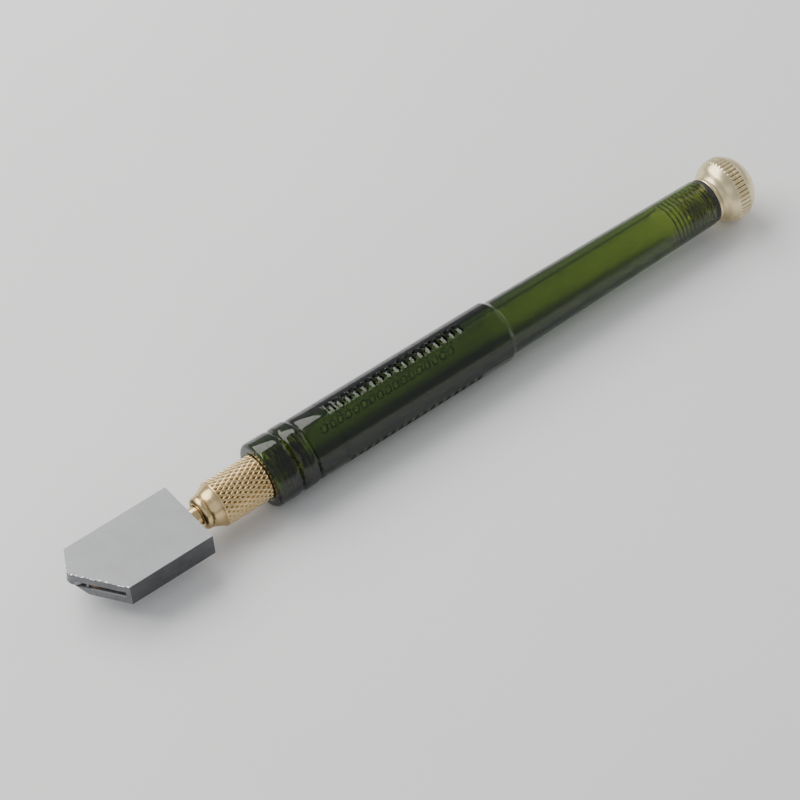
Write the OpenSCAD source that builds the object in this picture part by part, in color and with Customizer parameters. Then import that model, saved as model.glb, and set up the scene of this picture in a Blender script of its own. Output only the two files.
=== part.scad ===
// Oil-fed glass cutter: swivelling flat head with a hardened wheel, knurled brass
// nose with a push-open oil valve, oil reservoir handle and screw-in ball knob.
// The tool lies along X, wheel towards -X, knob towards +X. Lengths are measured
// along the tool from the foremost point of the wheel.

/* [Head] */
// width of the flat head across its two ruler faces
head_w = 15.5; // [14:0.1:16.5]
// thickness of the head plate
head_t = 4.9; // [4.6:0.1:5.4]
// distance from wheel edge to the head's rear face
head_len = 25.6; // [25:0.1:26]
// sideways offset of the wheel from the tool axis
tip_offset = 2.6; // [2.4:0.1:3]
// length lost along the tool per millimetre of width on the long bevel
long_slope = 0.68; // [0.64:0.01:0.7]
// length lost along the tool per millimetre of width on the short bevel
short_slope = 0.54; // [0.5:0.01:0.6]
// how far the two cheeks stand back from the sharp corner
tip_cut = 0.25; // [0.2:0.05:0.5]
// thickness of the slot between the cheeks
slot_t = 1.25; // [1.2:0.05:1.3]
// depth of the wick slot, square to the long bevel
slot_depth = 1.8; // [1.5:0.1:2.2]
// length of the wick slot along the long bevel
slot_len = 11.4; // [10:0.1:11.6]

/* [Cutting wheel] */
// outside radius of the cutting wheel
wheel_r = 2.0; // [1.8:0.05:2.1]
// thickness of the cutting wheel
wheel_t = 1.1; // [0.9:0.05:1.1]
// radius of the axle pin
axle_r = 0.4; // [0.35:0.05:0.5]
// height of the ground V at the wheel's edge
wheel_v = 0.45; // [0.35:0.05:0.5]

/* [Spindle and valve] */
// radius of the spindle between head and nose
spindle_r = 1.95; // [1.85:0.05:2]
// radius of the spindle's shank inside the head
shank_r = 1.6; // [1.5:0.05:1.65]
// how far the spindle can be pressed in
push_travel = 1.2; // [0.8:0.1:1.2]
// radius of the valve ball
ball_r = 1.5; // [1.4:0.05:1.6]
// radius of the hole in the valve seat
orifice_r = 1.2; // [1.15:0.05:1.25]
// wire radius of the valve spring
wire_r = 0.18; // [0.14:0.01:0.2]
// number of turns in the valve spring
spring_turns = 5; // [4:1:6]

/* [Knurled nose] */
// radius of the knurled grip of the nose
knurl_r = 4.7; // [4.6:0.05:4.8]
// radius of the lip at the nose's front end
lip_r = 3.45; // [3.3:0.05:3.6]
// start of the knurled grip along the tool
knurl_start = 31.2; // [30.8:0.1:31.6]

/* [Handle] */
// start of the handle along the tool
handle_start = 41.6; // [41.4:0.1:41.8]
// end of the handle along the tool
handle_end = 152.0; // [148:0.5:156]
// radius of the two ring beads at the handle's front
bead_r = 6.8; // [6.6:0.05:7]
// radius of the grip where it starts
grip_r = 6.55; // [6.45:0.05:6.6]
// radius of the barrel behind the grip
barrel_r = 5.85; // [5.7:0.05:6]
// radius of the barrel at its rear rim
rim_r = 5.0; // [4.9:0.05:5.2]
// radius of the oil reservoir
reservoir_r = 3.4; // [3.1:0.05:3.45]
// number of cross notches in each finger strip
notch_count = 17; // [10:1:17]
// spacing of the cross notches
notch_pitch = 1.92; // [1.8:0.02:2]
// half the width of a finger strip
strip_half_w = 1.38; // [1.2:0.02:1.5]
// turn of the finger strips about the tool
strip_turn = -3; // [-10:1:10]

/* [Knob] */
// greatest radius of the ball knob
knob_r = 6.75; // [6.5:0.05:6.75]
// length of the knob's dome behind its widest point
dome_len = 5.5; // [5.2:0.1:6]
// number of ridges around the knob
ridge_count = 44; // [30:2:48]

/* [Hidden] */
$fn = 64;
eps = 0.01;                                   // overlap that keeps cuts clean
gap = 0.05;                                   // running clearance on a radius
sharp_x = 0;                                  // corner where the bevels would meet
bevel_angle = atan(long_slope);               // turn of the long bevel
wheel_x = wheel_r;                            // wheel centre along the tool
knob_x = handle_end + 6;                      // widest point of the knob
tool_len = knob_x + dome_len;
axis_z = bead_r;                              // axis height when lying down
shank_start = 16.2;                           // front end of the spindle
shank_end = head_len + 0.1;                   // where the spindle thickens behind the head
bore_start = 15.6;                            // bottom of the head's spindle hole
clip_x = 22;                                  // snap ring that holds the head
clip_t = 0.5;
head_seal_x = 18.7;                           // centre of the head's seal
head_seal_wire = 0.27;
feed_r = 0.6;                                 // oil feed hole in the head
nose_start = head_len + push_travel + 0.5;    // leaves room for the push
bush_start = nose_start + 0.7;
bush_end = bush_start + 5;
bush_r = 2.6;
chamber_r = 3.05;                             // valve chamber inside the nose
stop_x = bush_end + gap;                      // ring that stops the spindle
stop_t = 0.6;
rod_seal_x = bush_end + 2.6;                  // centre of the spindle seal
rod_seal_wire = 0.58;
shoulder_x = bush_end + 3.6;                  // where the spindle steps down
seat_start = shoulder_x + 1.6;
seat_end = seat_start + 2.8;
seat_seal_x = seat_start + 1.25;
seat_seal_wire = 0.36;
push_pin_r = 0.9;                             // thin end that opens the valve
ball_x = seat_end + sqrt(ball_r * ball_r - orifice_r * orifice_r) + 0.02;
spring_r = 1.0;                               // mean radius of the coil
spring_start = ball_x + sqrt(pow(ball_r + wire_r, 2) - spring_r * spring_r) + 0.03;
retainer_start = 48;
retainer_t = 2;
spring_end = retainer_start - wire_r - 0.02;
nose_end = 50.5;                              // rear end of the nose's thread
shoulder_end = handle_start + 0.4;            // face that clamps the front gasket
front_seat = handle_start + 1.4;              // bottom of the gasket recess
recess_r = 4.95;
front_thread_r = 4.0;
front_bore_end = 52;
rear_thread_r = 3.45;
rear_thread_start = handle_end - 11;
plug_start = handle_end - 6;                  // front end of the knob's thread
thread_pitch = 1.0;
thread_depth = 0.3;
gasket_t = 0.9;
knob_start = handle_end + 1;
ridge_len = 2.4;                              // length of the ridges around the knob
groove_r = 6.2;                               // bottom of the grooves by the beads
grip_start = 57.7;
grip_end = 98;
grip_end_r = grip_r - 0.13;
strip_start = 58.1;
notch_start = 58.6;
notch_r = 0.72;
notch_depth = 0.7;
strip_count = 3;

steel = [0.72, 0.73, 0.74];
carbide = [0.45, 0.46, 0.48];
brass = [0.80, 0.68, 0.42];
rubber = [0.08, 0.08, 0.09];
felt = [0.45, 0.28, 0.16];
acrylic = [0.20, 0.30, 0.08];

// Puts a shape drawn along the tool (x = distance from the wheel) into the frame.
module placed() {
  translate([-tool_len / 2, 0, axis_z])
    children();
}

// Puts a shape turned about Z (z = distance from the wheel) along the tool.
module turned() {
  placed()
    rotate([0, 90, 0])
      children();
}

// Round bar or disc from one station to another along the tool.
module bar(from, to, r) {
  translate([0, 0, from])
    cylinder(r = r, h = to - from);
}

// Rubber ring of round section.
module ring(at, r_mid, wire) {
  turned()
    translate([0, 0, at])
      rotate_extrude()
        translate([r_mid, 0])
          circle(r = wire, $fn = 48);
}

// Flat ring between two radii.
module washer(from, to, r_in, r_out) {
  turned()
    difference() {
      bar(from, to, r_out);
      bar(from - eps, to + eps, r_in);
    }
}

// Plain ring grooves that stand for a thread, cut outwards or inwards.
module thread_grooves(from, to, r_crest, r_root) {
  turns = floor((to - from) / thread_pitch);
  r_a = min(r_crest, r_root);
  r_b = max(r_crest, r_root);
  inward = r_root < r_crest;
  for (k = [0 : turns - 1])
    translate([0, 0, from + (k + 0.5) * thread_pitch])
      rotate_extrude()
        polygon(inward
          ? [[r_a, 0], [r_b + eps, -0.35], [r_b + eps, 0.35]]
          : [[r_b, 0], [r_a - eps, -0.35], [r_a - eps, 0.35]]);
}

// Outline of the head seen from above, cut back at the tip.
module head_outline() {
  y_side = head_w / 2;
  polygon([
    [tip_cut, tip_offset + tip_cut / short_slope],
    [tip_cut, tip_offset - tip_cut / long_slope],
    [(y_side + tip_offset) * long_slope, -y_side],
    [head_len, -y_side],
    [head_len, y_side],
    [(y_side - tip_offset) * short_slope, y_side]
  ]);
}

// Moves to the long bevel: x runs inwards from the bevel, y runs towards the tip.
module on_long_bevel() {
  translate([sharp_x, tip_offset, 0])
    rotate([0, 0, bevel_angle])
      children();
}

module head_body() {
  color(steel)
    placed()
      difference() {
        translate([0, 0, -head_t / 2])
          linear_extrude(height = head_t)
            head_outline();
        // wheel pocket
        translate([wheel_x, tip_offset, -slot_t / 2])
          cylinder(r = wheel_r + 0.3, h = slot_t);
        // wick slot along the long bevel
        on_long_bevel()
          translate([-1, -slot_len, -slot_t / 2])
            cube([slot_depth + 1, slot_len, slot_t]);
        // axle hole, blind towards the top face
        translate([wheel_x, tip_offset, -head_t / 2 - 1])
          cylinder(r = axle_r, h = head_t + 0.2, $fn = 32);
        // oil feed hole and spindle bore with its two grooves
        rotate([0, 90, 0]) {
          bar(2.6, bore_start + 1, feed_r);
          bar(bore_start, head_len + 1, shank_r + gap);
          bar(clip_x - 0.1, clip_x + clip_t + 0.1, shank_r + 0.5);
        }
      }
}

module cutting_wheel() {
  color(carbide)
    placed()
      translate([wheel_x, tip_offset, 0])
        rotate_extrude($fn = 96)
          polygon([
            [axle_r + 0.03, -wheel_t / 2],
            [wheel_r - wheel_v, -wheel_t / 2],
            [wheel_r, -0.02],
            [wheel_r, 0.02],
            [wheel_r - wheel_v, wheel_t / 2],
            [axle_r + 0.03, wheel_t / 2]
          ]);
}

module wheel_axle() {
  color(steel)
    placed()
      translate([wheel_x, tip_offset, -head_t / 2])
        cylinder(r = axle_r - 0.005, h = head_t - 0.85, $fn = 32);
}

module oil_wick() {
  wick_t = slot_t - 0.16;
  color(felt)
    placed()
      union() {
        on_long_bevel()
          translate([0.2, -6.6, -wick_t / 2])
            cube([slot_depth - 0.24, 3, wick_t]);
        rotate([0, 90, 0])
          bar(3.2, 12, feed_r - 0.12);
      }
}

module head_o_ring() {
  color(rubber)
    ring(head_seal_x, shank_r + gap - head_seal_wire - 0.01, head_seal_wire);
}

module spindle_clip() {
  color(steel)
    washer(clip_x, clip_x + clip_t, shank_r - 0.38, shank_r + 0.42);
}

module spindle() {
  tip_x = ball_x - ball_r - gap;
  color(brass)
    turned()
      difference() {
        union() {
          bar(shank_start, shank_end + eps, shank_r);
          bar(shank_end, shoulder_x, spindle_r);
          bar(shoulder_x - eps, tip_x, push_pin_r);
        }
        // oil passage and its cross hole behind the seal
        bar(shank_start - 1, shoulder_x + 1, 0.5);
        translate([0, 0, shoulder_x + 0.5])
          rotate([90, 0, 0])
            cylinder(r = 0.35, h = 4, center = true, $fn = 24);
        // grooves for the head's seal, the snap ring and the stop ring
        groove(head_seal_x - 0.35, head_seal_x + 0.35, shank_r - 0.52);
        groove(clip_x - 0.05, clip_x + clip_t + 0.05, shank_r - 0.4);
        groove(stop_x - 0.02, stop_x + stop_t + 0.02, spindle_r - 0.4);
      }
}

// Ring-shaped cut that leaves a core of the given radius.
module groove(from, to, core_r) {
  difference() {
    bar(from, to, spindle_r + 1);
    bar(from - 1, to + 1, core_r);
  }
}

module spindle_stop_ring() {
  color(steel)
    washer(stop_x, stop_x + stop_t, spindle_r - 0.38, chamber_r - 0.25);
}

module nose_bush() {
  color(brass)
    washer(bush_start + 0.02, bush_end, spindle_r + gap, bush_r - 0.01);
}

module knurled_collar() {
  color(brass)
    turned()
      difference() {
        rotate_extrude()
          polygon([
            [spindle_r + 0.1, nose_start],
            [lip_r - 0.85, nose_start],
            [lip_r - 0.4, nose_start + 0.12],
            [lip_r - 0.12, nose_start + 0.4],
            [lip_r, nose_start + 0.8],
            [lip_r, nose_start + 1.25],
            [lip_r - 0.2, nose_start + 1.4],
            [lip_r + 0.1, nose_start + 1.6],
            [knurl_r - 0.3, knurl_start - 0.2],
            [knurl_r, knurl_start],
            [knurl_r, handle_start - 0.35],
            [knurl_r - 0.3, handle_start],
            [knurl_r - 0.3, shoulder_end],
            [front_thread_r - 0.3, shoulder_end],
            [front_thread_r - 0.3, front_seat + 0.5],
            [front_thread_r, front_seat + 0.8],
            [front_thread_r, nose_end - 0.3],
            [front_thread_r - 0.3, nose_end],
            [chamber_r, nose_end],
            [chamber_r, rod_seal_x + rod_seal_wire + 0.02],
            [chamber_r + 0.1, rod_seal_x + rod_seal_wire + 0.02],
            [chamber_r + 0.1, rod_seal_x - rod_seal_wire - 0.02],
            [chamber_r, rod_seal_x - rod_seal_wire - 0.02],
            [chamber_r, bush_end],
            [bush_r, bush_end],
            [bush_r, bush_start],
            [spindle_r + 0.1, bush_start]
          ]);
        thread_grooves(front_seat + 1, nose_end - 0.4, front_thread_r,
                       front_thread_r - thread_depth);
      }
}

module spindle_seal() {
  color(rubber)
    ring(rod_seal_x, spindle_r + 0.02 + rod_seal_wire, rod_seal_wire);
}

module valve_seat() {
  seal_root = chamber_r - 2 * seat_seal_wire - 0.03;
  color(brass)
    turned()
      difference() {
        bar(seat_start, seat_end, chamber_r - gap);
        bar(seat_start - 1, seat_end + 1, orifice_r);
        difference() {
          bar(seat_seal_x - 0.42, seat_seal_x + 0.42, chamber_r + 1);
          bar(seat_start - 1, seat_end + 1, seal_root);
        }
      }
}

module valve_seat_seal() {
  color(rubber)
    ring(seat_seal_x, chamber_r - seat_seal_wire - 0.01, seat_seal_wire);
}

module valve_ball() {
  color(steel)
    turned()
      translate([0, 0, ball_x])
        sphere(r = ball_r, $fn = 48);
}

// Round wire wound at constant pitch between ball and retainer.
module valve_spring() {
  sides = 8;
  per_turn = 20;
  steps = spring_turns * per_turn;
  rise = (spring_end - spring_start) / steps;
  rings = [for (i = [0 : steps]) for (j = [0 : sides - 1])
    let (a = 360 * i / per_turn, b = 360 * j / sides, r = spring_r + wire_r * cos(b))
    [r * cos(a), r * sin(a), spring_start + i * rise + wire_r * sin(b)]];
  walls = [for (i = [0 : steps - 1]) for (j = [0 : sides - 1])
    [i * sides + j, (i + 1) * sides + j,
     (i + 1) * sides + (j + 1) % sides, i * sides + (j + 1) % sides]];
  first = [for (j = [0 : sides - 1]) j];
  last = [for (j = [sides - 1 : -1 : 0]) steps * sides + j];
  color(steel)
    turned()
      polyhedron(points = rings, faces = concat(walls, [first, last]), convexity = 8);
}

module spring_retainer() {
  color(brass)
    turned()
      difference() {
        bar(retainer_start, retainer_start + retainer_t, chamber_r - gap);
        bar(retainer_start - 1, retainer_start + retainer_t + 1, 0.75);
        // screwdriver slot
        translate([-4, -0.4, retainer_start + retainer_t - 0.7])
          cube([8, 0.8, 1]);
      }
}

module collar_gasket() {
  color(rubber)
    washer(shoulder_end + 0.05, shoulder_end + 0.05 + gasket_t,
           front_thread_r + gap, recess_r - 0.1);
}

// One flat finger strip with its cross notches, cut into the top of the grip.
module strip_cut() {
  flat = sqrt(grip_r * grip_r - strip_half_w * strip_half_w);
  tilt = atan((grip_r - grip_end_r) / (grip_end - grip_start));
  translate([strip_start, 0, flat])
    rotate([0, tilt, 0]) {
      translate([0, -strip_half_w - 0.4, 0])
        cube([grip_end + 2 - strip_start, 2 * strip_half_w + 0.8, 2]);
      for (k = [0 : notch_count - 1])
        translate([notch_start - strip_start + 0.5 + k * notch_pitch, 0,
                   notch_r - notch_depth])
          rotate([90, 0, 0])
            cylinder(r = notch_r, h = 2 * strip_half_w, center = true, $fn = 24);
    }
}

module handle() {
  bead_1 = handle_start + 5.7;
  bead_2 = handle_start + 9.8;
  color(acrylic, 0.6)
    placed()
      difference() {
        rotate([0, 90, 0])
          rotate_extrude()
            polygon([
              [recess_r, handle_start],
              [bead_r - 0.7, handle_start],
              [bead_r - 0.2, handle_start + 0.2],
              [bead_r, handle_start + 0.7],
              [bead_r, bead_1 - 0.8],
              [bead_r - 0.2, bead_1 - 0.3],
              [groove_r, bead_1],
              [bead_r - 0.2, bead_1 + 0.3],
              [bead_r, bead_1 + 0.9],
              [bead_r, bead_2 - 0.9],
              [bead_r - 0.2, bead_2 - 0.3],
              [groove_r, bead_2],
              [grip_r, bead_2 + 0.35],
              [grip_r, grip_start - 0.1],
              [grip_r - 0.1, grip_start],
              [grip_r, grip_start + 0.1],
              [grip_end_r, grip_end],
              [barrel_r, grip_end + 1.3],
              [rim_r, handle_end - 0.3],
              [rim_r - 0.3, handle_end],
              [rear_thread_r + gap, handle_end],
              [rear_thread_r + gap, rear_thread_start],
              [reservoir_r, rear_thread_start - 0.2],
              [reservoir_r, front_bore_end],
              [front_thread_r + gap, front_bore_end - 0.4],
              [front_thread_r + gap, front_seat],
              [recess_r, front_seat]
            ]);
        rotate([0, 90, 0]) {
          thread_grooves(front_seat + 0.5, front_bore_end - 1, front_thread_r + gap,
                         front_thread_r + gap + thread_depth);
          thread_grooves(rear_thread_start + 0.5, handle_end - 0.2, rear_thread_r + gap,
                         rear_thread_r + gap + thread_depth);
        }
        for (k = [0 : strip_count - 1])
          rotate([strip_turn + 360 * k / strip_count, 0, 0])
            strip_cut();
      }
}

module cap_gasket() {
  color(rubber)
    washer(handle_end + 0.05, handle_end + 0.05 + gasket_t,
           rear_thread_r + gap, rim_r - 0.22);
}

module cap_knob() {
  dome = [for (a = [4 : 6 : 82]) [knob_r * cos(a), knob_x + dome_len * sin(a)]];
  profile = concat(
    [[0, plug_start + 8.5],
     [1.8, plug_start + 8],
     [1.8, plug_start],
     [rear_thread_r - 0.3, plug_start],
     [rear_thread_r, plug_start + 0.3],
     [rear_thread_r, knob_start],
     [rim_r - 0.35, knob_start],
     [rim_r - 0.2, knob_start + 0.15],
     [rim_r - 0.2, knob_start + 0.7],
     [rim_r - 0.42, knob_start + 0.9],
     [rim_r - 0.3, knob_start + 1.2],
     [rim_r + 0.25, knob_start + 1.7],
     [rim_r + 0.85, knob_start + 2.2],
     [knob_r - 0.45, knob_start + 3.0],
     [knob_r - 0.15, knob_start + 3.9],
     [knob_r, knob_x]],
    dome,
    [[0, knob_x + dome_len]]);
  color(brass)
    turned()
      difference() {
        rotate_extrude()
          polygon(profile);
        thread_grooves(plug_start + 0.4, knob_start - 1.2, rear_thread_r,
                       rear_thread_r - thread_depth);
        // straight ridges around the widest part
        for (k = [0 : ridge_count - 1])
          rotate([0, 0, 360 * k / ridge_count])
            translate([knob_r + 0.02, 0, knob_x - 1.1])
              rotate([0, 0, 45])
                cube([0.34, 0.34, ridge_len]);
      }
}

head_body();
cutting_wheel();
wheel_axle();
oil_wick();
head_o_ring();
spindle_clip();
spindle();
spindle_stop_ring();
nose_bush();
knurled_collar();
spindle_seal();
valve_seat();
valve_seat_seal();
valve_ball();
valve_spring();
spring_retainer();
collar_gasket();
handle();
cap_gasket();
cap_knob();
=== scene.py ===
"""Looks of the oil-fed glass cutter: detailed meshes, procedural materials, floor, light and camera.

The tool lies along X with its wheel towards -X. Stations along the tool are given in millimetres
from the wheel's foremost point, as in the CAD source, and turned into metres by place().
"""

import math
import random

import bmesh
import bpy
from mathutils import Matrix, Vector, noise


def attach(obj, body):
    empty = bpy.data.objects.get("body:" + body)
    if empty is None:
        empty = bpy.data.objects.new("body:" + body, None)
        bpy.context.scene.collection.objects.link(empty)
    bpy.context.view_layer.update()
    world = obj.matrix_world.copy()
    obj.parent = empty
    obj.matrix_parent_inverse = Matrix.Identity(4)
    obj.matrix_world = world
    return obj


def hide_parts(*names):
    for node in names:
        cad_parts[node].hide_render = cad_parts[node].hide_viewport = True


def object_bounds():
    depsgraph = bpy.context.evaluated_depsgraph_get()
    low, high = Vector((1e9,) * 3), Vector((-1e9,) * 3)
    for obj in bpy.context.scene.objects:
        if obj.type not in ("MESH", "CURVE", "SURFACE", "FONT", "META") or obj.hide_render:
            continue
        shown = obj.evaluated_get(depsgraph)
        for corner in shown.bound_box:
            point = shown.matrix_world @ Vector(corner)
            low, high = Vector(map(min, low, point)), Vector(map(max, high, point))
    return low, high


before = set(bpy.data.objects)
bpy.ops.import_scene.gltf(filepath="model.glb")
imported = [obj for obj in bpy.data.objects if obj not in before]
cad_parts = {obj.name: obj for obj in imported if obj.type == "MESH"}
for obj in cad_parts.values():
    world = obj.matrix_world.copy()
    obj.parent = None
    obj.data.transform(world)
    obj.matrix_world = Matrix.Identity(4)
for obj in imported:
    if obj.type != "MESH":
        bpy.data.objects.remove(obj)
cad_low, cad_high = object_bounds()

MM = 0.001
TOOL_LEN = (cad_high.x - cad_low.x) / MM
AXIS_Z = 6.8                     # height of the tool's axis above the floor

# ---------------------------------------------------------------- sizes, in millimetres
HEAD_W = 15.5
HEAD_T = 4.9
HEAD_LEN = 25.6
TIP_OFFSET = 2.6
TIP_CUT = 0.25
LONG_SLOPE = 0.68
SHORT_SLOPE = 0.54
SLOT_T = 1.25
SLOT_DEPTH = 1.8
SLOT_LEN = 11.4
WHEEL_R = 2.0
WHEEL_T = 1.1
SHANK_R = 1.6
SHANK_START = 16.2
SHANK_END = 25.7
SPINDLE_R = 1.95
SPINDLE_SHOULDER = 36.6
SPINDLE_TIP = 40.37
PUSH_PIN_R = 0.9

NOSE_START = 27.3
KNURL_START = 31.2
KNURL_R = 4.7
KNURL_STARTS = 28                # diamonds round the nose
KNURL_PERIOD = 1.86              # length of one diamond
LIP_R = 3.45
NOSE_END = 50.5
CHAMBER_R = 3.05
BUSH_R = 2.6

HANDLE_START = 41.6
HANDLE_END = 152.0
BEAD_R = 6.8
GRIP_R = 6.55
GRIP_START = 57.7
GRIP_END = 98.0
GRIP_END_R = 6.42
BARREL_R = 5.85
RIM_R = 5.0
RESERVOIR_R = 3.4
RECESS_R = 4.95
RECESS_END = 43.0
FRONT_BORE_END = 52.0
FRONT_THREAD_R = 4.0
REAR_THREAD_R = 3.45
REAR_THREAD_START = 141.0
THREAD_PITCH = 1.0
THREAD_DEPTH = 0.3
THREAD_GAP = 0.05

STRIP_COUNT = 3
STRIP_TURN = -3.0
STRIP_HALF_W = 1.38
STRIP_START = 58.1
NOTCH_COUNT = 17
NOTCH_PITCH = 1.92
NOTCH_FIRST = 59.1
NOTCH_R = 0.74
NOTCH_DEPTH = 0.7

KNOB_START = 153.0
KNOB_X = 158.0
KNOB_R = 6.75
DOME_LEN = 5.5
RIDGE_FROM = KNOB_X - 1.1
RIDGE_TO = KNOB_X + 1.3
RIDGES = 44
PLUG_START = 146.0


def place(x, y, z):
    """A point of the tool, in millimetres from the wheel and from the axis, as metres in the frame."""
    return Vector(((x - TOOL_LEN / 2) * MM, y * MM, (z + AXIS_Z) * MM))


# ---------------------------------------------------------------- mesh helpers
def mark_sharp(mesh, degrees):
    """Smooth shading with hard edges where faces meet at more than the given angle."""
    bm = bmesh.new()
    bm.from_mesh(mesh)
    bmesh.ops.recalc_face_normals(bm, faces=bm.faces)
    limit = math.radians(degrees)
    for face in bm.faces:
        face.smooth = True
    for edge in bm.edges:
        edge.smooth = len(edge.link_faces) == 2 and edge.calc_face_angle(0) < limit
    bm.to_mesh(mesh)
    bm.free()


def add_object(name, verts, faces, sharp=38):
    """A new mesh object in the scene."""
    mesh = bpy.data.meshes.new(name)
    mesh.from_pydata(verts, [], faces)
    mesh.update()
    mark_sharp(mesh, sharp)
    obj = bpy.data.objects.new(name, mesh)
    bpy.context.scene.collection.objects.link(obj)
    return obj


def lathe(name, profile, angles, radius=None, ring=True, sharp=38):
    """Turns a profile of (x, r) stations about the tool's axis.

    radius(x, r, angle) may change the radius point by point. With ring the profile closes on
    itself; otherwise its two ends meet the axis and are closed by fans.
    """
    verts, faces = [], []
    n = len(angles)
    for x, r in profile:
        for a in angles:
            rr = radius(x, r, a) if radius else r
            verts.append(place(x, rr * math.cos(a), rr * math.sin(a)))
    rows = len(profile)
    last = rows if ring else rows - 1
    for i in range(last):
        k = (i + 1) % rows
        for j in range(n):
            m = (j + 1) % n
            faces.append((i * n + j, k * n + j, k * n + m, i * n + m))
    if not ring:
        for row in (0, rows - 1):
            centre = len(verts)
            verts.append(place(profile[row][0], 0, 0))
            for j in range(n):
                faces.append((row * n + j, row * n + (j + 1) % n, centre))
    return add_object(name, verts, faces, sharp)


def spread(count, start=0.0):
    """Evenly spaced angles round the tool."""
    return [start + 2 * math.pi * k / count for k in range(count)]


def dense(points, step):
    """The same polyline with no stretch longer than step."""
    out = []
    for (x0, r0), (x1, r1) in zip(points, points[1:]):
        parts = max(1, math.ceil(math.hypot(x1 - x0, r1 - r0) / step))
        out += [(x0 + (x1 - x0) * k / parts, r0 + (r1 - r0) * k / parts) for k in range(parts)]
    return out + [points[-1]]


def corner(x, r, x_side, r_side, size, parts=5):
    """A rounded corner at (x, r): x_side and r_side are the directions of the two edges leaving it."""
    out = []
    for k in range(parts + 1):
        a = math.pi / 2 * k / parts
        out.append((x + x_side * size * (1 - math.sin(a)), r + r_side * size * (1 - math.cos(a))))
    return out


def tent(u):
    """Triangle wave: 0 at whole numbers and 1 halfway between."""
    return 1 - abs(2 * (u - math.floor(u)) - 1)


def ease(a, b, v):
    """0 below a, 1 above b, smooth between."""
    t = min(1.0, max(0.0, (v - a) / (b - a)))
    return t * t * (3 - 2 * t)


def thread_dip(x, angle, start, end):
    """Depth of a helical thread between two stations, fading out at both ends."""
    fade = ease(start, start + 0.4, x) * (1 - ease(end - 0.4, end, x))
    return THREAD_DEPTH * fade * tent(x / THREAD_PITCH - angle / (2 * math.pi))


def smooth_path(points, parts=6):
    """A Catmull-Rom curve through (x, r) points."""
    ends = [points[0]] + list(points) + [points[-1]]
    out = []
    for p0, p1, p2, p3 in zip(ends, ends[1:], ends[2:], ends[3:]):
        for k in range(parts):
            t = k / parts
            out.append(tuple(0.5 * (2 * b + (c - a) * t + (2 * a - 5 * b + 4 * c - d) * t * t
                                    + (3 * b - a - 3 * c + d) * t ** 3)
                             for a, b, c, d in zip(p0, p1, p2, p3)))
    return out + [points[-1]]


# ---------------------------------------------------------------- handle
def grip_radius(x):
    """Radius of the grip before its strips are cut."""
    share = min(1.0, max(0.0, (x - GRIP_START) / (GRIP_END - GRIP_START)))
    return GRIP_R + (GRIP_END_R - GRIP_R) * share


def notch_dip(x, t):
    """Depth of the cross notches at station x, t away from the middle of a strip."""
    k = round((x - NOTCH_FIRST) / NOTCH_PITCH)
    if not 0 <= k < NOTCH_COUNT:
        return 0.0
    dx = x - (NOTCH_FIRST + k * NOTCH_PITCH)
    end = max(0.0, abs(t) - (STRIP_HALF_W + 0.08 - NOTCH_R))
    away = dx * dx + end * end
    if away >= NOTCH_R * NOTCH_R:
        return 0.0
    return max(0.0, math.sqrt(NOTCH_R * NOTCH_R - away) - (NOTCH_R - NOTCH_DEPTH))


def handle_radius(x, r, angle):
    """Adds the finger strips outside and the two threads inside."""
    if r > 5.5 and STRIP_START - 0.4 < x < GRIP_END + 1.6:
        step = 2 * math.pi / STRIP_COUNT
        first = math.pi / 2 + math.radians(STRIP_TURN)
        off = (angle - first + step / 2) % step - step / 2
        flat = math.sqrt(grip_radius(x) ** 2 - STRIP_HALF_W ** 2)
        flat += 0.2 * (1 - ease(STRIP_START - 0.4, STRIP_START, x))
        t = flat * math.tan(off)
        return min(r, (flat - notch_dip(x, t)) / math.cos(off))
    if r < 4.3 and x > REAR_THREAD_START - 0.1:
        return r + thread_dip(x, angle, REAR_THREAD_START, HANDLE_END)
    if r < 4.3 and RECESS_END < x < FRONT_BORE_END - 0.5:
        return r + thread_dip(x, angle, RECESS_END + 0.4, FRONT_BORE_END - 0.5)
    return r


def strip_angles():
    """Angles round the handle, close together over the finger strips."""
    step = 360 / STRIP_COUNT
    fine, coarse = 15.4, 36
    out = []
    for k in range(STRIP_COUNT):
        middle = 90 + STRIP_TURN + step * k
        out += [middle - fine + 2 * fine * i / 34 for i in range(34)]
        rest = step - 2 * fine
        out += [middle + fine + rest * i / coarse for i in range(coarse)]
    return [math.radians(a) for a in out]


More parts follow.
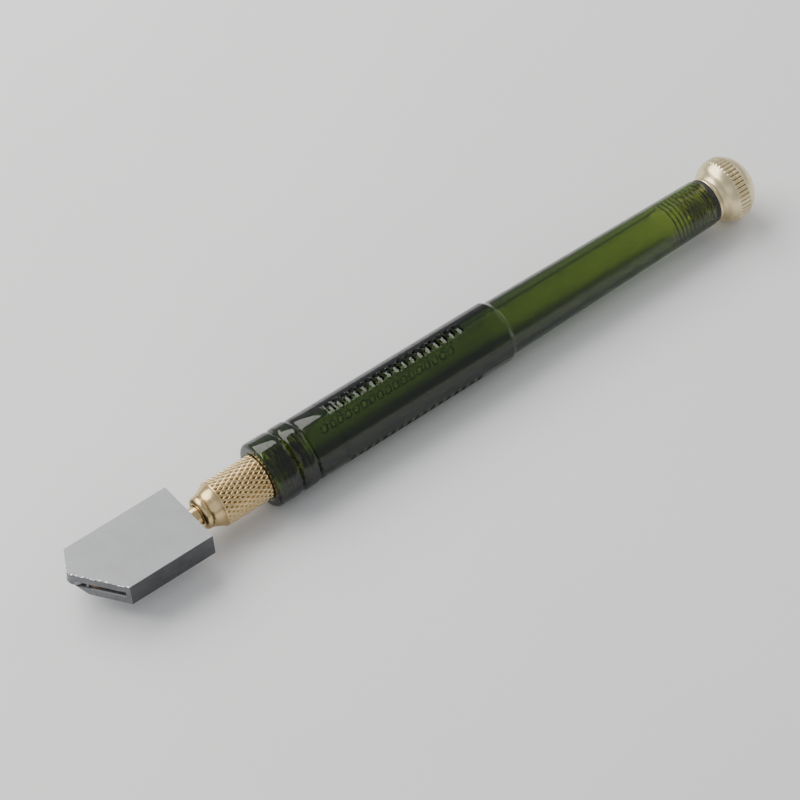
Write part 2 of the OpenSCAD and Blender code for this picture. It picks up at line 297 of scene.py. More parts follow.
def build_handle():
    """Clear moulded handle: two front beads, notched grip, tapered barrel, threaded bore."""
    bead_1, bead_2, dip = HANDLE_START + 5.7, HANDLE_START + 9.8, 6.15
    front = [(HANDLE_START, RECESS_R + 0.15)] + corner(HANDLE_START, BEAD_R, 1, -1, 0.8, 8)[::-1]
    beads = smooth_path([
        (bead_1 - 1.4, BEAD_R), (bead_1 - 0.75, BEAD_R - 0.06), (bead_1 - 0.3, BEAD_R - 0.3),
        (bead_1, dip), (bead_1 + 0.3, BEAD_R - 0.3), (bead_1 + 0.8, BEAD_R - 0.04),
        (bead_1 + 1.4, BEAD_R), (bead_2 - 1.4, BEAD_R), (bead_2 - 0.8, BEAD_R - 0.04),
        (bead_2 - 0.3, BEAD_R - 0.3), (bead_2, dip), (bead_2 + 0.3, GRIP_R - 0.12),
        (bead_2 + 0.9, GRIP_R)], 5)
    step_line = [(GRIP_START - 0.25, GRIP_R), (GRIP_START - 0.08, GRIP_R - 0.02),
                 (GRIP_START, GRIP_R - 0.1), (GRIP_START + 0.02, GRIP_R - 0.02),
                 (GRIP_START + 0.2, GRIP_R)]
    notch_from = NOTCH_FIRST - NOTCH_PITCH / 2
    per_notch = 18
    notches = [notch_from + NOTCH_PITCH * k / per_notch
               for k in range(NOTCH_COUNT * per_notch + 1)]
    grip = ([(x, grip_radius(x)) for x in (57.95, 58.02, 58.09)]
            + [(x, grip_radius(x)) for x in notches]
            + [(x, grip_radius(x)) for x in (92.5, 94, 95.5, 97, 97.8)])
    ramp = smooth_path([(GRIP_END - 0.1, GRIP_END_R), (GRIP_END + 0.15, GRIP_END_R - 0.05),
                        (GRIP_END + 1.0, BARREL_R + 0.06), (GRIP_END + 1.5, BARREL_R)], 4)
    barrel = dense([(GRIP_END + 2.2, BARREL_R - 0.012), (HANDLE_END - 0.5, RIM_R + 0.005)], 3.0)
    rim = corner(HANDLE_END, RIM_R, -1, -1, 0.35, 5)
    rear_r, front_r = REAR_THREAD_R + THREAD_GAP, FRONT_THREAD_R + THREAD_GAP
    rear_bore = dense([(HANDLE_END, rear_r + 0.25), (HANDLE_END - 0.25, rear_r),
                       (REAR_THREAD_START, rear_r)], 0.1)
    reservoir = dense([(REAR_THREAD_START - 0.2, RESERVOIR_R),
                       (FRONT_BORE_END + 0.6, RESERVOIR_R)], 3.0)
    front_bore = dense([(FRONT_BORE_END, front_r - 0.1), (FRONT_BORE_END - 0.4, front_r),
                        (RECESS_END, front_r)], 0.1)
    recess = [(RECESS_END, RECESS_R), (HANDLE_START + 0.15, RECESS_R)]
    profile = (front + beads + step_line + grip + ramp + barrel + rim
               + rear_bore + reservoir + front_bore + recess)
    return lathe("handle_clear", profile, strip_angles(), handle_radius, sharp=32)


# ---------------------------------------------------------------- brass nose and knob
def knurl_radius(x, r, angle):
    """Diamond knurl on the nose's grip, a net of ridges round pits, and the thread behind it."""
    depth, crest = 0.44, 0.27
    if r > KNURL_R - 0.05:
        turns = KNURL_STARTS * angle / (2 * math.pi)
        inside = min(tent(turns + x / KNURL_PERIOD), tent(turns - x / KNURL_PERIOD))
        fade = ease(KNURL_START + 0.1, KNURL_START + 0.4, x) * (
            1 - ease(HANDLE_START - 0.45, HANDLE_START - 0.1, x))
        return r - depth * fade * ease(crest, 0.85, inside)
    if r > 3.9 and x > RECESS_END:
        return r - thread_dip(x, angle, RECESS_END + 0.8, NOSE_END - 0.3)
    return r


def build_nose():
    """Turned brass nose: lip ring, taper, knurled grip and threaded end."""
    lip = smooth_path([(NOSE_START, LIP_R - 0.95), (NOSE_START + 0.06, LIP_R - 0.6),
                       (NOSE_START + 0.3, LIP_R - 0.22), (NOSE_START + 0.75, LIP_R - 0.02),
                       (NOSE_START + 1.15, LIP_R - 0.03)], 4)
    taper = [(NOSE_START + 1.3, LIP_R - 0.17), (NOSE_START + 1.45, LIP_R - 0.17),
             (NOSE_START + 1.6, LIP_R + 0.08), (NOSE_START + 2.2, LIP_R + 0.3),
             (KNURL_START - 0.35, KNURL_R - 0.33), (KNURL_START - 0.22, KNURL_R - 0.16),
             (KNURL_START - 0.08, KNURL_R - 0.04)]
    per_cell = 12
    stations = math.ceil((HANDLE_START - 0.1 - KNURL_START) / (KNURL_PERIOD / per_cell))
    grip = [(KNURL_START + k * KNURL_PERIOD / per_cell, KNURL_R) for k in range(stations)]
    shoulder = [(HANDLE_START - 0.02, KNURL_R - 0.2), (HANDLE_START + 0.4, KNURL_R - 0.3),
                (HANDLE_START + 0.4, FRONT_THREAD_R - 0.3),
                (RECESS_END + 0.4, FRONT_THREAD_R - 0.3), (RECESS_END + 0.75, FRONT_THREAD_R)]
    thread = dense([(RECESS_END + 0.8, FRONT_THREAD_R), (NOSE_END - 0.3, FRONT_THREAD_R)], 0.1)
    inside = [(NOSE_END, FRONT_THREAD_R - 0.3), (NOSE_END, CHAMBER_R + 0.15),
              (NOSE_END - 0.15, CHAMBER_R), (NOSE_START + 5.75, CHAMBER_R),
              (NOSE_START + 5.7, BUSH_R), (NOSE_START + 0.7, BUSH_R),
              (NOSE_START + 0.69, 2.05), (NOSE_START + 0.15, 2.05), (NOSE_START, 2.2)]
    profile = lip + taper + grip + shoulder + thread + inside
    return lathe("nose_brass", profile, spread(KNURL_STARTS * per_cell), knurl_radius, sharp=50)


def knob_radius(x, r, angle):
    """Flat-topped ridges round the knob's widest part and the thread on its plug."""
    if x > KNOB_START + 2:
        window = ease(RIDGE_FROM - 0.3, RIDGE_FROM + 0.25, x) * (1 - ease(RIDGE_TO, RIDGE_TO + 0.12, x))
        groove = 1 - ease(0.0, 0.55, tent(RIDGES * angle / (2 * math.pi)))
        crest = max(r, KNOB_R - 0.03)
        return r + window * (crest - r - 0.34 * groove)
    if 3.3 < r < 3.5 and PLUG_START + 0.3 < x < KNOB_START:
        return r - thread_dip(x, angle, PLUG_START + 0.4, KNOB_START - 1.2)
    return r


def build_knob():
    """Turned brass ball knob with its threaded plug."""
    lip_r = RIM_R - 0.2
    plug = [(PLUG_START + 8, 0.6), (PLUG_START + 7.8, 1.8), (PLUG_START + 0.2, 1.8),
            (PLUG_START, 2.0), (PLUG_START, REAR_THREAD_R - 0.3)]
    thread = dense([(PLUG_START + 0.3, REAR_THREAD_R), (KNOB_START, REAR_THREAD_R)], 0.1)
    flange = [(KNOB_START, lip_r - 0.15), (KNOB_START + 0.04, lip_r - 0.05),
              (KNOB_START + 0.15, lip_r), (KNOB_START + 0.6, lip_r),
              (KNOB_START + 0.75, lip_r - 0.06), (KNOB_START + 0.86, lip_r - 0.22),
              (KNOB_START + 0.98, lip_r - 0.22)]
    neck = smooth_path([(KNOB_START + 1.1, lip_r - 0.1), (KNOB_START + 1.5, lip_r + 0.28),
                        (KNOB_START + 2.2, 5.85), (KNOB_START + 3.2, 6.38),
                        (KNOB_START + 4.1, 6.62), (KNOB_X, KNOB_R)], 6)
    dome = [(KNOB_X + DOME_LEN * math.sin(a), KNOB_R * math.cos(a))
            for a in (math.radians(1.2 * k) for k in range(1, 17))]
    dome += [(KNOB_X + DOME_LEN * math.sin(a), KNOB_R * math.cos(a))
             for a in (math.radians(20 + 2.6 * k) for k in range(27))]
    profile = plug + thread + flange + neck + dome
    return lathe("knob_brass", profile, spread(RIDGES * 10), knob_radius, ring=False, sharp=50)


def build_spindle():
    """Turned brass spindle with its seal, clip and stop grooves, oil passage and cross hole."""
    passage, passage_end, e = 0.5, SPINDLE_SHOULDER + 1, 0.12
    profile = [(SHANK_START, passage), (SHANK_START, SHANK_R - e), (SHANK_START + e, SHANK_R)]
    grooves = ((18.35, 19.05, SHANK_R - 0.52, SHANK_R), (21.95, 22.55, SHANK_R - 0.4, SHANK_R),
               (33.03, 33.67, SPINDLE_R - 0.4, SPINDLE_R))
    for start, end, core, full in grooves:
        if full == SPINDLE_R:
            profile += [(SHANK_END, SHANK_R), (SHANK_END, SPINDLE_R - e), (SHANK_END + e, SPINDLE_R)]
        profile += [(start, full), (start, core), (end, core), (end, full)]
    profile += [(SPINDLE_SHOULDER - e, SPINDLE_R), (SPINDLE_SHOULDER, SPINDLE_R - e),
                (SPINDLE_SHOULDER, PUSH_PIN_R), (SPINDLE_TIP - e, PUSH_PIN_R),
                (SPINDLE_TIP, PUSH_PIN_R - e), (SPINDLE_TIP, 0.02), (passage_end, 0.02),
                (passage_end, passage)]
    spindle = lathe("spindle_brass", profile, spread(96), sharp=30)
    hole = lathe("cross_hole", [(-2, 0.35), (2, 0.35)], spread(24), ring=False)
    centre = place(0, 0, 0)
    hole.data.transform(Matrix.Translation(place(SPINDLE_SHOULDER + 0.5, 0, 0))
                        @ Matrix.Rotation(math.pi / 2, 4, "Z") @ Matrix.Translation(-centre))
    cut(spindle, [hole])
    mark_sharp(spindle.data, 30)
    return spindle


def build_ring(name, start, length, inner, outer):
    """A flat rubber washer with rounded, slightly bulging edges."""
    e = min(0.18, length / 4)
    profile = [(start, inner + e), (start + e, inner), (start + length - e, inner),
               (start + length, inner + e), (start + length, outer - e),
               (start + length - e * 0.4, outer - e * 0.3), (start + length / 2, outer),
               (start + e * 0.4, outer - e * 0.3), (start, outer - e)]
    return lathe(name, profile, spread(96), sharp=60)


# ---------------------------------------------------------------- head
def prism(name, outline, low, high):
    """Straight-sided solid on an outline of (x, y), in millimetres; used for cutting."""
    n = len(outline)
    verts = [(x, y, low) for x, y in outline] + [(x, y, high) for x, y in outline]
    faces = [tuple(range(n))[::-1], tuple(range(n, 2 * n))]
    faces += [(k, (k + 1) % n, n + (k + 1) % n, n + k) for k in range(n)]
    return add_object(name, verts, faces)


def blob(name, centre, size, seed):
    """Small irregular lump, in millimetres."""
    bm = bmesh.new()
    bmesh.ops.create_icosphere(bm, subdivisions=2, radius=1)
    for v in bm.verts:
        v.co *= 1 + 0.35 * noise.noise(v.co * 1.7 + Vector((seed, 0, 0)))
        v.co = Vector((v.co.x * size[0], v.co.y * size[1], v.co.z * size[2])) + centre
    mesh = bpy.data.meshes.new(name)
    bm.to_mesh(mesh)
    bm.free()
    obj = bpy.data.objects.new(name, mesh)
    bpy.context.scene.collection.objects.link(obj)
    return obj


def apply_modifiers(obj):
    """Replaces an object's mesh by what its modifiers make of it."""
    depsgraph = bpy.context.evaluated_depsgraph_get()
    depsgraph.update()
    done = bpy.data.meshes.new_from_object(obj.evaluated_get(depsgraph))
    obj.modifiers.clear()
    obj.data = done


def cut(obj, tools, operation="DIFFERENCE"):
    """Boolean of obj with each tool; the tools are removed."""
    for tool in tools:
        mod = obj.modifiers.new("cut", "BOOLEAN")
        mod.operation = operation
        mod.object = tool
        mod.solver = "EXACT"
        apply_modifiers(obj)
        bpy.data.objects.remove(tool)


def to_frame(obj):
    """Takes a mesh from millimetres about the tool's axis to metres in the frame."""
    origin = place(0, 0, 0)
    obj.data.transform(Matrix.Translation(origin) @ Matrix.Scale(MM, 4))


ACROSS = Vector((1, LONG_SLOPE, 0)).normalized()         # into the head from the long bevel
ALONG = Vector((LONG_SLOPE, -1, 0)).normalized()         # down the long bevel from the tip
SHORT_ALONG = Vector((SHORT_SLOPE, 1, 0)).normalized()   # up the short bevel from the tip


def on_bevel(s, n, z=0.0):
    """Point s along the long bevel from the tip and n inside it, in millimetres."""
    return Vector((0, TIP_OFFSET, z)) + ALONG * s + ACROSS * n


def round_bar(name, centre, radius, start, end, sides=48):
    """Straight round cutter along X, in millimetres."""
    ring = spread(sides)
    verts = [(x, centre[0] + radius * math.cos(a), centre[1] + radius * math.sin(a))
             for x in (start, end) for a in ring]
    faces = [tuple(range(sides))[::-1], tuple(range(sides, 2 * sides))]
    faces += [(k, (k + 1) % sides, sides + (k + 1) % sides, sides + k) for k in range(sides)]
    return add_object(name, verts, faces)


def slot_lip():
    """Wedge that chamfers the slot's lower edge along the long bevel."""
    low, reach, out = -SLOT_T / 2, 0.17, 0.1
    section = [(-out, low + 0.02), (-out, low - reach - out), (reach, low + 0.02)]
    verts = [on_bevel(s, n, z) for s in (4.4, SLOT_LEN + 0.2) for n, z in section]
    return add_object("slot_lip", verts, [(0, 1, 2), (5, 4, 3), (0, 3, 4, 1), (1, 4, 5, 2),
                                          (2, 5, 3, 0)])


def cheek_relief():
    """Wedge that grinds the lower cheek back under the wheel."""
    nose = [(-1, TIP_OFFSET - 4, -SLOT_T / 2), (0.75, TIP_OFFSET - 4, -SLOT_T / 2),
            (2.3, TIP_OFFSET - 4, -HEAD_T / 2 - 0.2), (-1, TIP_OFFSET - 4, -HEAD_T / 2 - 0.2)]
    verts = nose + [(x, TIP_OFFSET + 5, z) for x, _, z in nose]
    faces = [(0, 1, 2, 3), (7, 6, 5, 4)] + [(k, k + 4, (k + 1) % 4 + 4, (k + 1) % 4)
                                            for k in range(4)]
    return add_object("relief", verts, faces)


def edge_chips():
    """Chips broken out of the top face's edge along both bevels."""
    rng = random.Random(4)
    chips = []
    for k in range(24):
        s = 0.3 + 11.9 * (k + rng.random()) / 24
        size = (rng.uniform(0.25, 0.7), rng.uniform(0.12, 0.34), rng.uniform(0.1, 0.34))
        chips.append((on_bevel(s, -0.03, HEAD_T / 2 + 0.03), size, ALONG))
    for k in range(9):
        spot = Vector((0, TIP_OFFSET, HEAD_T / 2 + 0.03)) + SHORT_ALONG * rng.uniform(0.2, 2.6)
        size = (rng.uniform(0.12, 0.3), rng.uniform(0.08, 0.16), rng.uniform(0.1, 0.25))
        chips.append((spot, size, SHORT_ALONG))
    return chips


def edge_burrs():
    """Small flakes of steel turned up at the same edges."""
    rng = random.Random(9)
    burrs = []
    for k in range(7):
        spot = on_bevel(rng.uniform(1.0, 11.0), 0.12, HEAD_T / 2 - 0.03)
        size = (rng.uniform(0.2, 0.45), rng.uniform(0.1, 0.18), rng.uniform(0.06, 0.1))
        burrs.append((spot, size, ALONG))
    for k in range(5):
        height = rng.uniform(1.2, HEAD_T / 2)
        spot = Vector((0.1, TIP_OFFSET, height)) + SHORT_ALONG * rng.uniform(0.2, 2.2)
        burrs.append((spot, [rng.uniform(0.1, 0.17)] * 3, SHORT_ALONG))
    return burrs


def lumps(rows, name, seed):
    """Irregular lumps from rows of (place, size, direction)."""
    made = []
    for k, (spot, size, along) in enumerate(rows):
        lump = blob(f"{name}{k}", Vector((0, 0, 0)), size, seed + k)
        lump.data.transform(Matrix.Rotation(math.atan2(along.y, along.x), 4, "Z"))
        lump.data.transform(Matrix.Translation(spot))
        made.append(lump)
    return made


def build_head():
    """Steel head plate with its two bevels, wheel pocket, wick slot, spindle hole and worn edges."""
    side = HEAD_W / 2
    outline = [(TIP_CUT, TIP_OFFSET + TIP_CUT / SHORT_SLOPE),
               (TIP_CUT, TIP_OFFSET - TIP_CUT / LONG_SLOPE),
               ((side + TIP_OFFSET) * LONG_SLOPE, -side), (HEAD_LEN, -side),
               (HEAD_LEN, side), ((side - TIP_OFFSET) * SHORT_SLOPE, side)]
    head = prism("head_steel", outline, -HEAD_T / 2, HEAD_T / 2)

    ring = [(WHEEL_R + (WHEEL_R + 0.3) * math.cos(a), TIP_OFFSET + (WHEEL_R + 0.3) * math.sin(a))
            for a in spread(64)]
    pocket = prism("pocket", ring, -SLOT_T / 2, SLOT_T / 2)
    # the saw that cut the wick slot leaves a ramp at its end
    floor_line = [(0.4, -1), (0.4, SLOT_DEPTH), (SLOT_LEN - 2, SLOT_DEPTH), (SLOT_LEN - 1, 1.25),
                  (SLOT_LEN - 0.3, 0.6), (SLOT_LEN + 0.2, -0.12), (SLOT_LEN + 0.2, -1)]
    slot = prism("slot", [on_bevel(s, n).xy for s, n in floor_line][::-1],
                 -SLOT_T / 2 + 0.02, SLOT_T / 2 - 0.02)
    bore = round_bar("bore", (0, 0), SHANK_R + 0.05, 15.6, HEAD_LEN + 1)
    feed = round_bar("feed", (0, 0), 0.6, 2.6, 16.6, 24)
    cut(head, [pocket, slot, bore, feed, cheek_relief(), slot_lip()])

    bevel = head.modifiers.new("bevel", "BEVEL")
    bevel.width = 0.06
    bevel.segments = 2
    bevel.limit_method = "ANGLE"
    bevel.angle_limit = math.radians(40)
    bevel.use_clamp_overlap = True
    apply_modifiers(head)
    cut(head, lumps(edge_chips(), "chip", 0))
    cut(head, lumps(edge_burrs(), "burr", 60), "UNION")
    to_frame(head)
    mark_sharp(head.data, 20)
    for face in head.data.polygons:
        face.use_smooth = False
    return head


def finish_head(head, blasted, ground, sawn, fresh):
    """Blasted top and underside; ground sides and rear and sawn bevels and slot, their darker base
    colours partly painted shade; bright chips.
    """
    for mat in (blasted, ground, sawn, fresh):
        head.data.materials.append(mat)
    rim = (AXIS_Z + HEAD_T / 2 - 0.5) * MM
    for face in head.data.polygons:
        n = face.normal
        if face.area < 0.06 * MM ** 2 and face.center.z > rim and 0.1 < n.z < 0.995:
            face.material_index = 3
        elif abs(n.z) > 0.3:
            face.material_index = 0
        else:
            # painted shade: the sides and rear take the darkest steel and the bevels a mid grey, for
            # faces that stand in shade
            face.material_index = 1 if abs(n.y) > 0.95 or n.x > 0.95 else 2


def build_stake():
    """Small lump of steel pinched across the slot between wheel and wick."""
    stake = blob("stake", on_bevel(3.75, 0.36), (0.36, 0.34, 0.66), 11)
    sub = stake.modifiers.new("round", "SUBSURF")
    sub.levels = 2
    apply_modifiers(stake)
    to_frame(stake)
    mark_sharp(stake.data, 80)
    return stake


def build_wheel():
    """Ground carbide wheel with its V edge and hub hole."""
    half, flat = WHEEL_T / 2, WHEEL_R - 0.5
    upper = [(0.43, half - 0.05), (0.47, half), (flat, half), (flat + 0.08, half - 0.03),
             (WHEEL_R - 0.03, 0.05)]
    profile = upper + [(WHEEL_R, 0.0)] + [(r, -z) for r, z in reversed(upper)]
    ring = spread(160)
    n = len(ring)
    verts = [(WHEEL_R + r * math.cos(a), TIP_OFFSET + r * math.sin(a), z)
             for r, z in profile for a in ring]
    faces = [(i * n + j, (i + 1) % len(profile) * n + j,
              (i + 1) % len(profile) * n + (j + 1) % n, i * n + (j + 1) % n)
             for i in range(len(profile)) for j in range(n)]
    wheel = add_object("wheel_carbide", verts, faces, 30)
    to_frame(wheel)
    mark_sharp(wheel.data, 30)
    return wheel


def build_wick():
    """Felt wick lying in the slot, with its tail in the feed hole."""
    outline = [on_bevel(s, n).xy for s, n in
               [(3.85, 0.5), (3.95, 1.6), (6.3, 1.6), (6.5, 1.3), (5.9, 0.55), (4.9, 0.3)]]
    wick = prism("wick_felt", outline[::-1], -0.44, 0.44)
    cut(wick, [round_bar("tail", (0, 0), 0.46, 3.1, 12, 24)], "UNION")
    remesh = wick.modifiers.new("even", "REMESH")
    remesh.mode = "VOXEL"
    remesh.voxel_size = 0.07
    apply_modifiers(wick)
    for v in wick.data.vertices:
        v.co += Vector((noise.noise(v.co * 5.1), noise.noise(v.co * 5.1 + Vector((7, 0, 0))),
                        noise.noise(v.co * 5.1 + Vector((0, 9, 0))))) * 0.05
    to_frame(wick)
    mark_sharp(wick.data, 180)
    return wick


# ---------------------------------------------------------------- materials
def new_material(name):
    """An empty node material: (material, add(type, **values), link, shader, output)."""
    mat = bpy.data.materials.new(name)
    mat.use_nodes = True
    tree = mat.node_tree
    tree.nodes.clear()
    output = tree.nodes.new("ShaderNodeOutputMaterial")
    shader = tree.nodes.new("ShaderNodeBsdfPrincipled")
    tree.links.new(shader.outputs["BSDF"], output.inputs["Surface"])

    def add(kind, **values):
        node = tree.nodes.new("ShaderNode" + kind)
        for key, value in values.items():
            if key in node.inputs:
                node.inputs[key].default_value = value
            else:
                setattr(node, key, value)
        return node

    return mat, add, tree.links.new, shader, output


def millimetres(add, link, stretch=(1, 1, 1)):
    """Texture coordinates in millimetres of the piece's own frame."""
    coord = add("TexCoord")
    mapping = add("Mapping", Scale=tuple(s / MM for s in stretch))
    link(coord.outputs["Object"], mapping.inputs["Vector"])
    return mapping.outputs["Vector"]


def noise_at(add, link, vector, scale, detail=3.0, rough=0.55):
    """Noise of that many features per millimetre."""
    node = add("TexNoise", Scale=scale, Detail=detail, Roughness=rough)
    link(vector, node.inputs["Vector"])
    return node.outputs["Fac"]


def spread_values(add, link, value, low, high, from_low=0.3, from_high=0.7):
    """Maps a noise value to a range."""
    node = add("MapRange")
    node.inputs["From Min"].default_value = from_low
    node.inputs["From Max"].default_value = from_high
    node.inputs["To Min"].default_value = low
    node.inputs["To Max"].default_value = high
    link(value, node.inputs["Value"])
    return node.outputs["Result"]


def mix_colours(add, link, factor, a, b):
    """Blend of two colours by a value."""
    node = add("Mix", data_type="RGBA")
    link(factor, node.inputs["Factor"])
    for colour, slot in ((a, 6), (b, 7)):
        if isinstance(colour, tuple):
            node.inputs[slot].default_value = (*colour, 1)
        else:
            link(colour, node.inputs[slot])
    return node.outputs[2]


def bump(add, link, height, distance, strength, normal=None):
    """Bump of that height, in millimetres."""
    node = add("Bump", Strength=strength, Distance=distance * MM)
    link(height, node.inputs["Height"])
    if normal:
        link(normal, node.inputs["Normal"])
    return node.outputs["Normal"]


def metal(name, light, dark, rough, grain, grain_depth, turned=0.0, tarnish=0.35):
    """Metal with fine grain, slow tarnish, painted shade in its hollows and, if turned, fine lathe
    lines.
    """
    mat, add, link, shader, _ = new_material(name)
    at = millimetres(add, link)
    fine = noise_at(add, link, at, grain, 2.0)
    slow = noise_at(add, link, at, 0.35, 4.0)
    stain = spread_values(add, link, slow, 0.0, tarnish, 0.42, 0.7)
    speck = spread_values(add, link, fine, 0.0, 0.35, 0.45, 0.75)
    toned = mix_colours(add, link, stain, light, dark)
    toned = mix_colours(add, link, speck, toned, tuple(0.8 * c for c in light))
    # painted shade: concave places (low pointiness) are darkened towards a third of the dark colour,
    # standing in for the shade in pits and grooves
    shape = add("NewGeometry")
    painted_hollow_shade = spread_values(add, link, shape.outputs["Pointiness"], 0.9, 0.0, 0.40, 0.49)
    link(mix_colours(add, link, painted_hollow_shade, toned, tuple(0.3 * c for c in dark)),
         shader.inputs["Base Color"])
    link(spread_values(add, link, slow, rough * 0.85, rough * 1.25), shader.inputs["Roughness"])
    normal = bump(add, link, fine, grain_depth, 0.6)
    if turned:
        lines = noise_at(add, link, millimetres(add, link, (1, 0.02, 0.02)), 9.0, 2.0)
        normal = bump(add, link, lines, turned, 0.5, normal)
    link(normal, shader.inputs["Normal"])
    shader.inputs["Metallic"].default_value = 1.0
    return mat


def blasted_steel():
    """Satin blasted face of the head plate with faint grinding lines."""
    mat, add, link, shader, _ = new_material("blasted_steel")
    at = millimetres(add, link)
    fine = noise_at(add, link, at, 9.0, 3.0, 0.6)
    slow = noise_at(add, link, at, 0.22, 3.0)
    lines = noise_at(add, link, millimetres(add, link, (0.25, 6, 1)), 1.2, 3.0)
    shade = spread_values(add, link, slow, 0.0, 0.6)
    toned = mix_colours(add, link, shade, (0.38, 0.385, 0.395), (0.33, 0.335, 0.343))
    fleck = spread_values(add, link, fine, 0.0, 0.6, 0.5, 0.8)
    link(mix_colours(add, link, fleck, toned, (0.23, 0.234, 0.24)), shader.inputs["Base Color"])
    link(spread_values(add, link, fine, 0.55, 0.7), shader.inputs["Roughness"])
    normal = bump(add, link, fine, 0.02, 0.5)
    link(bump(add, link, lines, 0.012, 0.35, normal), shader.inputs["Normal"])
    shader.inputs["Metallic"].default_value = 1.0
    return mat


def ground_steel(name, light, dark, rough, stretch):
    """Machined steel with fine parallel grinding lines and a few oily stains."""
    mat, add, link, shader, _ = new_material(name)
    lines = noise_at(add, link, millimetres(add, link, stretch), 1.6, 4.0, 0.65)
    slow = noise_at(add, link, millimetres(add, link), 0.4, 4.0)
    toned = mix_colours(add, link, spread_values(add, link, slow, 0.0, 0.8), light, dark)
    scored = tuple(0.6 * c for c in dark)
    link(mix_colours(add, link, spread_values(add, link, lines, 0.0, 0.7, 0.5, 0.75), toned, scored),
         shader.inputs["Base Color"])
    link(spread_values(add, link, lines, rough * 0.8, rough * 1.3), shader.inputs["Roughness"])
    link(bump(add, link, lines, 0.02, 0.5), shader.inputs["Normal"])
    shader.inputs["Metallic"].default_value = 1.0
    return mat


ACRYLIC_TINT = (0.60, 0.67, 0.25)
ACRYLIC_DENSITY = 1400.0         # absorption per metre; sets how dark the thick walls look


def clear_acrylic():
    """Olive green clear plastic: smooth gloss, light scuffs, and a tint that deepens with thickness."""
    mat, add, link, shader, output = new_material("green_acrylic")
    at = millimetres(add, link)
    slow = noise_at(add, link, at, 0.12, 2.0)
    scuffs = noise_at(add, link, millimetres(add, link, (0.2, 5, 5)), 0.8, 4.0, 0.7)
    link(mix_colours(add, link, spread_values(add, link, slow, 0.0, 1.0),
                     (0.84, 0.88, 0.66), (0.90, 0.92, 0.75)), shader.inputs["Base Color"])
    link(spread_values(add, link, scuffs, 0.05, 0.14, 0.55, 0.8), shader.inputs["Roughness"])
    link(bump(add, link, slow, 0.1, 0.2), shader.inputs["Normal"])
    shader.inputs["IOR"].default_value = 1.49
    shader.inputs["Transmission Weight"].default_value = 1.0
    tint = add("VolumeAbsorption", Density=ACRYLIC_DENSITY)
    tint.inputs["Color"].default_value = (*ACRYLIC_TINT, 1)
    link(tint.outputs["Volume"], output.inputs["Volume"])
    return mat


def rubber(name, colour):
    """Matt rubber with a fine grain and a little dust."""
    mat, add, link, shader, _ = new_material(name)
    at = millimetres(add, link)
    fine = noise_at(add, link, at, 14.0, 2.0)
    dust = noise_at(add, link, at, 1.2, 4.0)
    link(mix_colours(add, link, spread_values(add, link, dust, 0.0, 0.4, 0.5, 0.8),
                     colour, (0.16, 0.155, 0.15)), shader.inputs["Base Color"])
    link(spread_values(add, link, fine, 0.5, 0.75), shader.inputs["Roughness"])
    link(bump(add, link, fine, 0.02, 0.5), shader.inputs["Normal"])
    return mat


def felt():
    """Oily brown wick."""
    mat, add, link, shader, _ = new_material("oily_felt")
    at = millimetres(add, link, (4, 1, 1))
    hairs = noise_at(add, link, at, 3.5, 5.0, 0.7)
    link(mix_colours(add, link, spread_values(add, link, hairs, 0.0, 1.0, 0.35, 0.65),
                     (0.10, 0.045, 0.02), (0.24, 0.12, 0.055)), shader.inputs["Base Color"])
    link(spread_values(add, link, hairs, 0.45, 0.85), shader.inputs["Roughness"])
    link(bump(add, link, hairs, 0.08, 0.8), shader.inputs["Normal"])
    return mat


def pale_floor():
    """Plain pale tabletop with a barely visible grain."""
    mat, add, link, shader, _ = new_material("pale_floor")
    at = millimetres(add, link)
    grain = noise_at(add, link, at, 1.5, 4.0)
    cloud = noise_at(add, link, at, 0.01, 2.0)
    link(mix_colours(add, link, spread_values(add, link, cloud, 0.0, 1.0),
                     (0.84, 0.835, 0.825), (0.87, 0.867, 0.86)), shader.inputs["Base Color"])
    link(spread_values(add, link, grain, 0.55, 0.7), shader.inputs["Roughness"])
    link(bump(add, link, grain, 0.03, 0.2), shader.inputs["Normal"])
    return mat


def paint(obj, mat):
    """Gives an object one material."""
    obj.data.materials.clear()
    obj.data.materials.append(mat)


# ---------------------------------------------------------------- camera, light, floor
CAMERA_AIM = (73.39, -2.06, 0.0)     # millimetres along the tool, beside and above its axis
CAMERA_DISTANCE = 578.85
CAMERA_AZIMUTH = -33.40
CAMERA_ELEVATION = 47.93
CAMERA_ROLL = -5.73
CAMERA_LENS = 136.1
SENSOR = 36.0


def add_camera():
    """The viewing angle: from the head's end, well above, with a long lens."""
    data = bpy.data.cameras.new("camera")
    data.lens = CAMERA_LENS
    data.sensor_width = SENSOR
    data.clip_start, data.clip_end = 0.01, 20
    cam = bpy.data.objects.new("camera", data)
    bpy.context.scene.collection.objects.link(cam)
    bpy.context.scene.camera = cam
    a, e = math.radians(CAMERA_AZIMUTH), math.radians(CAMERA_ELEVATION)
    roll = math.radians(CAMERA_ROLL)
    back = Vector((math.sin(a) * math.cos(e), -math.cos(a) * math.cos(e), math.sin(e)))
    level = Vector((math.cos(a), math.sin(a), 0))
    up0 = back.cross(level)
    right = level * math.cos(roll) + up0 * math.sin(roll)
    up = up0 * math.cos(roll) - level * math.sin(roll)
    turn = Matrix((right, up, back)).transposed().to_4x4()
    cam.matrix_world = Matrix.Translation(
        place(*CAMERA_AIM) + back * CAMERA_DISTANCE * MM) @ turn


def add_area(name, at, target, size, power, colour=(1, 1, 1)):
    """A soft rectangular light at a point, aimed at another, in metres."""
    data = bpy.data.lights.new(name, "AREA")
    data.shape = "RECTANGLE"
    data.size, data.size_y = size
    data.energy = power
    data.color = colour
    light = bpy.data.objects.new(name, data)
    bpy.context.scene.collection.objects.link(light)
    light.location = at
    light.rotation_euler = (Vector(target) - Vector(at)).to_track_quat("-Z", "Y").to_euler()


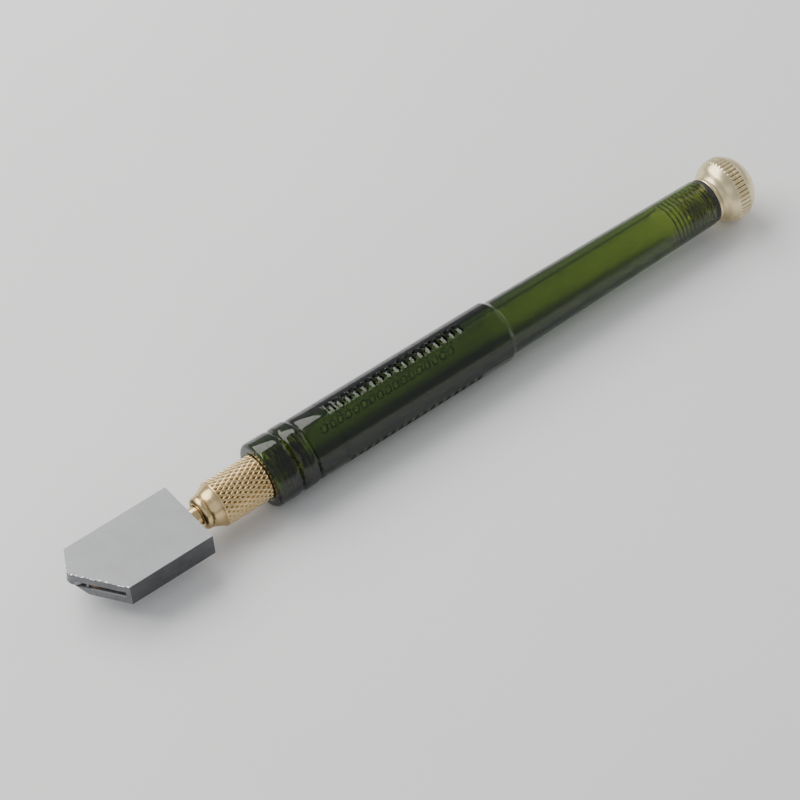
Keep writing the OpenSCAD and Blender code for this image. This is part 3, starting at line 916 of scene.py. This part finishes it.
def add_studio():
    """Even pale surround with one large soft light behind left and weaker fills."""
    world = bpy.data.worlds.new("studio")
    bpy.context.scene.world = world
    world.use_nodes = True
    background = world.node_tree.nodes["Background"]
    background.inputs["Color"].default_value = (0.93, 0.96, 1.0, 1)
    background.inputs["Strength"].default_value = 0.52
    middle = (0, 0, AXIS_Z * MM)
    add_area("key", (-0.15, 0.40, 0.46), middle, (0.8, 0.5), 5.6, (1.0, 0.985, 0.96))
    add_area("front_fill", (-0.40, -0.40, 0.35), middle, (0.6, 0.5), 0.35, (0.95, 0.97, 1.0))
    add_area("rear_fill", (0.45, 0.05, 0.35), middle, (0.4, 0.3), 0.4, (1.0, 0.99, 0.97))


def add_floor():
    """Large pale table under the tool."""
    half = 3.0
    floor = add_object("floor", [(-half, -half, 0), (half, -half, 0),
                                 (half, half, 0), (-half, half, 0)], [(0, 1, 2, 3)])
    paint(floor, pale_floor())


# ---------------------------------------------------------------- assembly
add_camera()
add_studio()
add_floor()

steel = blasted_steel()
# Painted shade: the ground sides and rear, and less so the sawn bevels, get far darker base colours
# than the blasted top; the grinding lines and stains are real.
side_steel_painted_shade = ground_steel("ground_steel", (0.11, 0.115, 0.12), (0.08, 0.082, 0.088), 0.34, (0.2, 4, 4))
sawn_steel_painted_shade = ground_steel("sawn_steel_painted_shade", (0.21, 0.215, 0.22), (0.14, 0.14, 0.15), 0.38, (4, 4, 0.3))
fresh_steel = metal("fresh_steel", (0.86, 0.86, 0.87), (0.6, 0.6, 0.61), 0.3, 8.0, 0.006)
carbide = metal("ground_carbide", (0.34, 0.34, 0.355), (0.20, 0.20, 0.21), 0.28, 8.0, 0.01)
pin_steel = metal("polished_steel", (0.62, 0.62, 0.63), (0.45, 0.45, 0.46), 0.22, 6.0, 0.008)
nose_brass = metal("nose_brass", (0.70, 0.52, 0.27), (0.42, 0.28, 0.12), 0.24, 8.0, 0.004, 0.008)
knob_brass = metal("knob_brass", (0.80, 0.68, 0.42), (0.50, 0.39, 0.19), 0.28, 8.0, 0.006, 0.008)
acrylic = clear_acrylic()
black_rubber = rubber("black_rubber", (0.018, 0.018, 0.019))
brown_felt = felt()

PIECES = (
    (build_head, steel, "head", "head_steel", ("head_body",)),
    (build_stake, sawn_steel_painted_shade, "head", "head_steel", ()),
    (build_wheel, carbide, "wheel", "wheel_carbide", ("cutting_wheel",)),
    (build_wick, brown_felt, "head", "wick_felt", ("oil_wick",)),
    (build_spindle, nose_brass, "spindle", "nose_brass", ("spindle",)),
    (build_nose, nose_brass, "nose", "nose_brass", ("knurled_collar",)),
    (build_handle, acrylic, "handle", "green_acrylic", ("handle",)),
    (build_knob, knob_brass, "knob", "knob_brass", ("cap_knob",)),
)
for build, material, body, slot, stands_for in PIECES:
    piece = build()
    if build is build_head:
        finish_head(piece, steel, side_steel_painted_shade, sawn_steel_painted_shade, fresh_steel)
    else:
        paint(piece, material)
    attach(piece, body)
    if stands_for:
        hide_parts(*stands_for)

GASKETS = (
    ("front_gasket", HANDLE_START + 0.45, FRONT_THREAD_R + 0.05, RECESS_R - 0.1,
     "nose_carrier", "collar_gasket"),
    ("rear_gasket", HANDLE_END + 0.05, REAR_THREAD_R + 0.05, RIM_R - 0.22,
     "knob_carrier", "cap_gasket"),
)
for name, start, inner, outer, body, node in GASKETS:
    piece = build_ring(name, start, 0.9, inner, outer)
    paint(piece, black_rubber)
    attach(piece, body)
    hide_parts(node)

FINISHES = {
    "wheel_axle": pin_steel, "spindle_clip": pin_steel, "spindle_stop_ring": pin_steel,
    "valve_ball": pin_steel, "valve_spring": pin_steel,
    "nose_bush": nose_brass, "valve_seat": nose_brass, "spring_retainer": nose_brass,
    "head_o_ring": black_rubber, "spindle_seal": black_rubber, "valve_seat_seal": black_rubber,
}
for node, material in FINISHES.items():
    paint(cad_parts[node], material)
